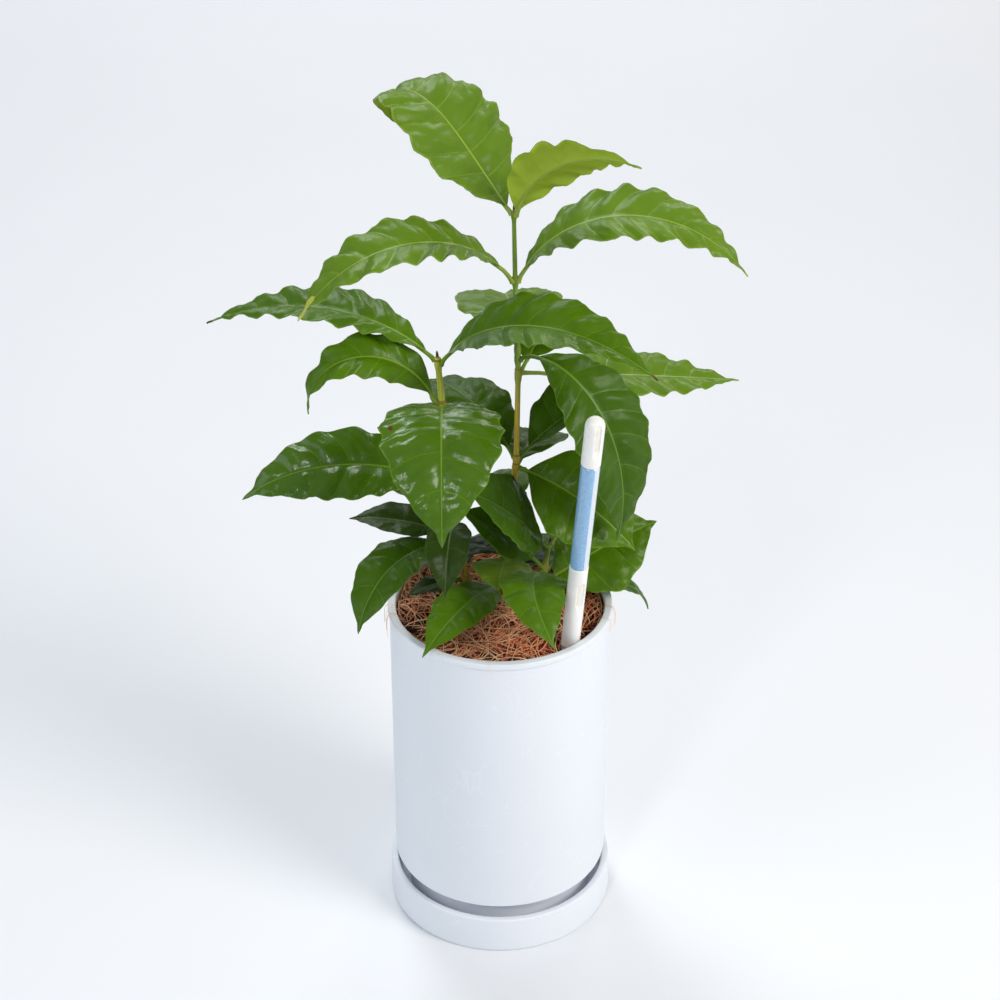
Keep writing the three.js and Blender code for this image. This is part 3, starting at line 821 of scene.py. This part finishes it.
def stick_heights(low, high):
    """Ring heights, close together where a slot is."""
    heights = [low]
    while heights[-1] < high:
        near = any(abs(heights[-1] - middle) < length / 2 + 2 for length, _, middle, _ in SLOTS)
        heights.append(min(high, heights[-1] + (SLOT_STEP if near else STICK_STEP)))
    return heights


def stick_mesh(name, profile, materials, index_of):
    """A round body along the stick from (height, radius) pairs, with its slots pressed in."""
    along, front, right = stick_frame()
    angles = np.arange(STICK_SIDES) * TAU / STICK_SIDES - math.pi
    points = []
    pressed = []
    for height, radius in profile:
        for angle in angles:
            press = max(slot_press(height, angle, slot) for slot in SLOTS)
            out = radius - SLOT_DEPTH * press
            points.append(STICK_FOOT + along * height
                          + out * (front * math.cos(angle) + right * math.sin(angle)))
            pressed.append(press)
    faces = tube_faces(len(profile), STICK_SIDES)
    indices = [index_of(face, pressed, angles) for face in faces]
    return mesh_object(name, points, faces, materials, indices, sharp=math.radians(40))


def slot_index(face, pressed, _):
    """The second material for the bottom of a slot."""
    return 1 if min(pressed[v] for v in face) > 0.9 else 0


def seam_index(face, _, angles):
    """The second material for the sleeve's pale strip."""
    low, high = WINDOW_SEAM
    return 1 if low < angles[face[0] % STICK_SIDES] < high else 0


def make_stick_body():
    length = np.linalg.norm(STICK_TOP - STICK_FOOT)
    edge = STICK_RADIUS - STICK_BEVEL
    point = (-STICK_SUNK, STICK_RADIUS / 2)
    lower = [(h, STICK_RADIUS) for h in stick_heights(6 - STICK_SUNK, WINDOW_FROM - STICK_BEVEL)]
    neck = [(WINDOW_FROM, edge), (WINDOW_FROM, NECK_RADIUS), (WINDOW_TO, NECK_RADIUS), (WINDOW_TO, edge)]
    upper = [(h, STICK_RADIUS) for h in stick_heights(WINDOW_TO + STICK_BEVEL, length - DOME_HEIGHT)]
    dome = [(length - DOME_HEIGHT * (1 - math.sin(t)), STICK_RADIUS * math.cos(t) ** 0.8)
            for t in np.linspace(0.05, math.pi / 2 - 0.06, DOME_RINGS)]
    profile = [point] + lower + neck + upper + dome
    stick = stick_mesh("stick_body", profile, [stick_material(), slot_material()], slot_index)
    dress(stick, "stick_white", "moisture_stick")


def make_stick_window():
    """The blue sleeve round the neck, with its pale strip."""
    radius = STICK_RADIUS - WINDOW_INSET
    start = WINDOW_FROM + GAP
    end = WINDOW_TO - GAP
    inner = NECK_RADIUS + GAP
    edge = radius - STICK_BEVEL
    profile = [(start, inner), (start, edge), (start + STICK_BEVEL, radius),
               (end - STICK_BEVEL, radius), (end, edge), (end, inner)]
    blue = window_material("stick_blue", (128, 174, 216), (150, 192, 228))
    pale = window_material("stick_pale", (206, 218, 232), (222, 230, 240))
    window = stick_mesh("stick_window", profile, [blue, pale], seam_index)
    dress(window, "stick_blue", "moisture_window")


# Stems

def stem_at(name, height):
    bends = np.array(STEMS[name], float)
    i = int(np.clip(np.searchsorted(bends[:, 0], height) - 1, 0, len(bends) - 2))
    t = (height - bends[i, 0]) / (bends[i + 1, 0] - bends[i, 0])
    x, y, radius = bends[i, 1:] + t * (bends[i + 1, 1:] - bends[i, 1:])
    return np.array([x, y, height]), radius


def stem_radius(name, height):
    foot = STEMS[name][0][0]
    flare = 1 + FLARE * math.exp((foot - height) / FLARE_REACH)
    swell = max([0.0] + [1 - abs(leaf["at"] - height) / NODE_REACH
                         for leaf in LEAVES if leaf["stem"] == name])
    soft = swell * swell * (3 - 2 * swell)
    return stem_at(name, height)[1] * flare + NODE_SWELL * soft


def make_stem(name, scar, bud):
    """A round stem with lengthwise ridges, a scar round each joint and a thin bud on top."""
    foot = STEMS[name][0][0]
    tip = STEMS[name][-1][0]
    heights = list(np.arange(foot, tip, STEM_STEP)) + [tip]
    angles = np.arange(STEM_SIDES) * TAU / STEM_SIDES
    joints = [leaf["at"] for leaf in LEAVES if leaf["stem"] == name]
    points = []
    for height in heights:
        centre, _ = stem_at(name, height)
        ridge = sum(high * np.sin(count * angles + height / drift) for high, count, drift in RIDGES)
        near = max([0.0] + [1 - abs(height - joint - SCAR_ABOVE) / SCAR_REACH for joint in joints])
        radii = stem_radius(name, height) * (1 + ridge) + SCAR_SWELL * near
        ring = np.stack([centre[0] + radii * np.cos(angles), centre[1] + radii * np.sin(angles),
                         np.full(STEM_SIDES, height)], axis=1)
        points.append(ring)
    for step, share in BUD_RINGS:
        radius = stem_at(name, tip)[1] * share
        centre, _ = stem_at(name, tip + step * BUD_LENGTH)
        points.append(np.stack([centre[0] + radius * np.cos(angles),
                                centre[1] + radius * np.sin(angles) * BUD_FLAT,
                                np.full(STEM_SIDES, centre[2])], axis=1))
    points = np.vstack(points)
    faces = tube_faces(len(points) // STEM_SIDES, STEM_SIDES)
    indices = []
    for face in faces:
        height = points[face[0]][2]
        marked = any(abs(height - joint - SCAR_ABOVE) < SCAR_WIDTH / 2 for joint in joints)
        indices.append(2 if height > tip + BUD_LENGTH * BUD_FROM else 1 if marked else 0)
    materials = [stem_material(name), scar, bud]
    stem = mesh_object("stem_" + name + "_bark", points, faces, materials, indices, sharp=math.pi)
    dress(stem, "stem", "stem_" + name)


def make_stems():
    scar = plain_leaf_material("stem_scar", (128, 114, 46), (150, 136, 58), 0.7)
    bud = plain_leaf_material("stem_bud", (54, 42, 22), (84, 66, 34), 0.7)
    for name in STEMS:
        make_stem(name, scar, bud)


# Leaves

def midrib(leaf):
    """The midrib's points and its side and upward directions, against the blade's share of length."""
    total = leaf["stalk"] + leaf["long"]
    count = int(round(total / LEAF_STEP)) + 1
    s = np.linspace(0, 1, count)
    up = np.radians(leaf["rise"] - leaf["fall"] * s ** leaf["late"])
    turn = np.radians(leaf["turn"] + leaf["sweep"] * s)
    along = np.stack([np.cos(up) * np.cos(turn), np.cos(up) * np.sin(turn), np.sin(up)], axis=1)
    level = np.stack([-np.sin(turn), np.cos(turn), np.zeros(count)], axis=1)
    above = np.cross(along, level)
    roll = np.radians(leaf["roll"] + leaf["twist"] * s)[:, None]
    side = level * np.cos(roll) + above * np.sin(roll)
    above = above * np.cos(roll) - level * np.sin(roll)
    centre, _ = stem_at(leaf["stem"], leaf["at"])
    reach = stem_radius(leaf["stem"], leaf["at"]) - STALK_SUNK
    start = centre + reach * np.array([math.cos(turn[0]), math.sin(turn[0]), 0])
    steps = along[:-1] + along[1:]
    steps *= (total / (count - 1)) / np.linalg.norm(steps, axis=1)[:, None]
    points = np.vstack([start, start + np.cumsum(steps, axis=0)])
    return {"blade": (s * total - leaf["stalk"]) / leaf["long"],
            "point": points, "side": side, "above": above}


def at_blade(rib, blade):
    """Point, side and upward direction of the midrib at shares of the blade's length."""
    def read(key):
        return np.stack([np.interp(blade, rib["blade"], rib[key][:, k]) for k in range(3)], axis=-1)
    return read("point"), read("side"), read("above")


def half_width(leaf, blade):
    """Half of the blade's width at shares of its length: an oval with a narrow drip tip."""
    blade = np.clip(blade, 1e-6, 1 - 1e-6)
    oval = np.sin(math.pi * np.minimum(1 - 1e-9, blade / OVAL_END) ** 0.9) ** (1 - 0.3 * blade)
    ends = np.minimum(np.minimum(1, blade * 3), (1 - blade) / (1.6 * (1 - OVAL_END)))
    return leaf["wide"] / 2 * np.cbrt(oval ** 3 + (DRIP_WIDTH * ends ** 0.8) ** 3)


def wave_count(leaf):
    return max(2, round(leaf["long"] / WAVE_LENGTH))


def wave_phase(leaf, margin, lag):
    """The angle of the margin's wave, with waves that are not all of one length."""
    uneven = (0.016 * np.sin(TAU * 1.3 * margin + leaf["odd"] + lag)
              + 0.01 * np.sin(TAU * 2.9 * margin + 2 * leaf["odd"] - lag))
    return TAU * wave_count(leaf) * (margin + uneven) + lag


def wave_height(leaf, margin, lag):
    """The size of the margin's wave, which differs along the blade and from side to side."""
    uneven = 1 + 0.3 * np.sin(TAU * 1.9 * margin + 3 * leaf["odd"] + 2 * lag)
    return WAVE_SHARE * leaf["wave"] * uneven * np.sqrt(np.sin(math.pi * np.clip(margin, 0.001, 0.999)))


def vein_slant(start):
    """How far forward, in shares of the blade, a side vein has run when it meets the margin."""
    return VEIN_SLANT * 4 * start * (1 - start)


def vein_starts(leaf, lag):
    """Where on the midrib each side vein starts, so that it meets the margin in a wave's trough."""
    start = np.linspace(0, 1, 500)
    phase = wave_phase(leaf, start + vein_slant(start), lag)
    troughs = TAU * (np.arange(-1, wave_count(leaf) + 1) + 0.75)
    found = np.interp(troughs, phase, start, left=0, right=1)
    return [at for at in found if 0.02 < at < 0.9]


def rumple(leaf, along, across):
    """Soft irregular swellings of the face, higher on a wide leaf, from places on it in mm."""
    odd = leaf["odd"]
    first = np.sin(0.5 * along + 1.4 * np.sin(0.24 * across + odd) + odd)
    second = np.sin(0.46 * across + 1.2 * np.sin(0.33 * along + 2 * odd) + 3 * odd)
    third = np.sin(0.83 * along - 0.6 * across + 2 * odd) * np.sin(0.7 * across + 0.31 * along)
    return RUMPLE * leaf["wide"] * (first * second + 0.45 * third)


def blade_rows(leaf):
    """Rows of the blade's mesh: the two edges of every side vein, with fillers between them."""
    half_vein = VEIN_WIDTH / 2 / leaf["long"]
    cuts = [0.0, 1.0]
    for lag in (0, WAVE_LAG):
        for start in vein_starts(leaf, lag):
            cuts += [start - half_vein, start + half_vein]
    cuts = sorted(c for c in cuts if 0 <= c <= 1)
    rows = [0.0]
    for cut in cuts[1:]:
        gap = (cut - rows[-1]) * leaf["long"]
        if gap < 0.3 and cut < 1:
            continue
        pieces = max(1, math.ceil(gap / ROW_STEP))
        rows += list(rows[-1] + (cut - rows[-1]) * np.arange(1, pieces + 1) / pieces)
    return np.array(rows)


def half_blade(leaf, rib, rows, lag, sign, depth):
    """Points of one half of the blade's face, from the midrib's edge out to the margin."""
    start = rows[:, None]
    out = np.array(COLUMNS)[None, :]
    blade = np.clip(start + vein_slant(start) * out ** 1.4, 0, 1)
    point, side, above = at_blade(rib, blade)
    rib_edge = MIDRIB_WIDTH / 2 * (1 - 0.75 * blade)
    width = np.maximum(half_width(leaf, blade), rib_edge)
    phase = wave_phase(leaf, start + vein_slant(start), lag)
    fade = np.sqrt(np.sin(math.pi * np.clip(blade, 0.001, 0.999)))
    wave = wave_height(leaf, blade, lag) * np.sin(phase) * out ** 2
    dome = np.abs(np.sin((phase + math.pi / 2) / 2)) ** 0.8 - 0.62
    pucker = PUCKER * dome * fade * np.minimum(1, out * 6) * (1 - out ** 3) * min(1, leaf["wide"] / 46)
    fold = math.radians(leaf["fold"])
    camber = CAMBER * width * np.sin(math.pi * out ** 0.8)
    scallop = 1 + SCALLOP * np.cos(phase) * out ** 3
    reach = rib_edge + (width * scallop - rib_edge) * out
    uneven = rumple(leaf, blade * leaf["long"], sign * reach) * fade * np.minimum(1, out * 4)
    up = reach * math.sin(fold) + wave + pucker + camber + uneven - depth
    return point + side * (sign * reach * math.cos(fold))[..., None] + above * up[..., None]


def blade_face(leaf, rib, rows, depth, ridge):
    """All points of one face, from one margin over the midrib to the other."""
    left = half_blade(leaf, rib, rows, 0, 1, depth)[:, ::-1]
    right = half_blade(leaf, rib, rows, WAVE_LAG, -1, depth)
    point, _, above = at_blade(rib, rows)
    middle = point + above * (ridge * (1 - 0.6 * rows) - depth)[:, None]
    return np.concatenate([left, middle[:, None, :], right], axis=1)


def near_vein(row_middle, starts, leaf):
    return any(abs(row_middle - start) * leaf["long"] < VEIN_WIDTH * 0.55 for start in starts)


def add_blade(builder, leaf, rib, dry_from):
    rows = blade_rows(leaf)
    upper = blade_face(leaf, rib, rows, -LEAF_THICKNESS / 2, MIDRIB_RISE)
    lower = blade_face(leaf, rib, rows, LEAF_THICKNESS / 2, -MIDRIB_DEPTH)
    count, across = upper.shape[:2]
    half = across // 2
    points = np.concatenate([upper.reshape(-1, 3), lower.reshape(-1, 3)])
    under = count * across
    starts = {0: vein_starts(leaf, 0), 1: vein_starts(leaf, WAVE_LAG)}
    faces = []
    indices = []
    for i in range(count - 1):
        middle = (rows[i] + rows[i + 1]) / 2
        dry = middle > dry_from
        veined = [near_vein(middle, starts[k], leaf) for k in (0, 1)]
        for j in range(across - 1):
            a = i * across + j
            b = a + across
            faces.append((a, a + 1, b + 1, b))
            faces.append((under + a, under + b, under + b + 1, under + a + 1))
            on_rib = half - 1 <= j <= half
            at_margin = j in (0, across - 2)
            on_vein = veined[0 if j < half else 1] and not at_margin
            top = MIDRIB if on_rib else VEIN if on_vein else RIM if at_margin else BLADE
            indices += [TIP if dry else top, TIP if dry else MIDRIB if on_rib else UNDER]
        for a, b in ((i * across, (i + 1) * across), ((i + 2) * across - 1, (i + 1) * across - 1)):
            faces.append((a, b, under + b, under + a))
            indices.append(TIP if dry else RIM)
    for row in (0, count - 1):
        for j in range(across - 1):
            a = row * across + j
            pair = (a, under + a, under + a + 1, a + 1)
            faces.append(pair if row == 0 else pair[::-1])
            indices.append(RIM if row == 0 or dry_from > 1 else TIP)
    builder.add(points, faces, indices)


def add_stalk(builder, leaf, rib):
    """The round stalk, which runs on under the blade as the foot of the midrib."""
    first = rib["blade"][0]
    blade = np.linspace(first, STALK_END, STALK_RINGS)
    point, _, above = at_blade(rib, blade)
    from_stem = (blade - first) * leaf["long"]
    flare = STALK_FLARE * np.exp(-from_stem / (2 * STALK_RADIUS))
    thin = STALK_THINNING * np.clip(blade / STALK_END, 0, 1)
    radii = STALK_RADIUS * (1 + flare) * (1 - thin)
    drop = radii * 0.75 * np.clip((blade + 0.03) / 0.06, 0, 1)
    builder.add_tube(point - above * drop[:, None], radii, STALK_SIDES, MIDRIB)


def add_spots(builder, leaf, rib):
    """Low domes with a paler ring on the upper face where the blade is marked."""
    angles = np.arange(SPOT_SIDES) * TAU / SPOT_SIDES
    for share, across, radius in SPOTS.get(leaf["name"], []):
        rows = np.array([share, share + 0.02])
        face = blade_face(leaf, rib, rows, -LEAF_THICKNESS / 2, MIDRIB_RISE)
        places = np.concatenate([-np.array(COLUMNS)[::-1], [0], COLUMNS])
        j = int(np.argmin(np.abs(places - across)))
        centre = face[0, j]
        length = face[1, j] - centre
        length /= np.linalg.norm(length)
        above = np.cross(face[0, j + 1] - centre, length)
        above /= -np.linalg.norm(above)
        width = np.cross(length, above)
        points = []
        for size, lift in SPOT_RINGS:
            uneven = size * radius * (1 + 0.12 * np.sin(2 * angles + 1) + 0.07 * np.sin(5 * angles))
            points.append(centre + above * lift + np.outer(uneven * np.cos(angles), length)
                          + np.outer(uneven * np.sin(angles), width))
        faces = tube_faces(len(points), SPOT_SIDES)
        halo = HALO_RINGS * SPOT_SIDES
        builder.add(np.vstack(points), faces, [HALO] * halo + [SPOT] * (len(faces) - halo))


def make_leaf(leaf, sets, blemishes):
    rib = midrib(leaf)
    tip, tip_share = DRY_TIPS.get(leaf["name"], ("yellow", -1))
    builder = Builder()
    add_blade(builder, leaf, rib, 1 - tip_share)
    add_stalk(builder, leaf, rib)
    add_spots(builder, leaf, rib)
    materials = sets[leaf["tone"]] + [blemishes[tip], blemishes["halo"], blemishes["spot"]]
    blade = builder.build(leaf["name"].replace("leaf_", "blade_"), materials, sharp=math.radians(60))
    dress(blade, "leaf", leaf["name"])


def make_leaves():
    sets = leaf_materials()
    blemishes = blemish_materials()
    for leaf in LEAVES:
        make_leaf(leaf, sets, blemishes)


# Camera, floor and light

def make_camera():
    camera = bpy.data.objects.new("camera", bpy.data.cameras.new("camera"))
    camera.data.lens = CAMERA_LENS
    camera.data.sensor_width = CAMERA_SENSOR
    camera.location = CAMERA_PLACE
    camera.rotation_euler = (math.pi / 2 - CAMERA_PITCH, 0, 0)
    bpy.context.scene.collection.objects.link(camera)
    bpy.context.scene.camera = camera


def make_floor():
    half = FLOOR_HALF
    corners = [(-half, -half, 0), (half, -half, 0), (half, half, 0), (-half, half, 0)]
    finish = Finish("floor_pale", 0.7)
    finish.colour(finish.mix(finish.noise(3, 2.0), linear(229, 232, 236), linear(233, 235, 239)))
    floor = mesh_object("floor", corners, [(0, 1, 2, 3)], [finish.material])


def make_light(name, place, target, size, power, colour):
    data = bpy.data.lights.new(name, "AREA")
    data.shape = "DISK"
    data.size = size
    data.energy = power
    data.color = colour
    light = bpy.data.objects.new(name, data)
    light.location = place
    aim = Vector(target) - Vector(place)
    light.rotation_euler = aim.to_track_quat("-Z", "Y").to_euler()
    bpy.context.scene.collection.objects.link(light)


def make_lights():
    world = bpy.data.worlds.new("soft_room")
    world.use_nodes = True
    background = world.node_tree.nodes["Background"]
    background.inputs["Color"].default_value = (*ROOM_COLOUR, 1)
    background.inputs["Strength"].default_value = ROOM_LIGHT
    bpy.context.scene.world = world
    for light in LIGHTS:
        make_light(*light)
    bpy.context.scene.view_settings.view_transform = "Standard"


make_camera()
make_pot()
make_soil()
make_coir_bed()
make_fibres()
make_stick_body()
make_stick_window()
make_stems()
make_leaves()
make_floor()
make_lights()
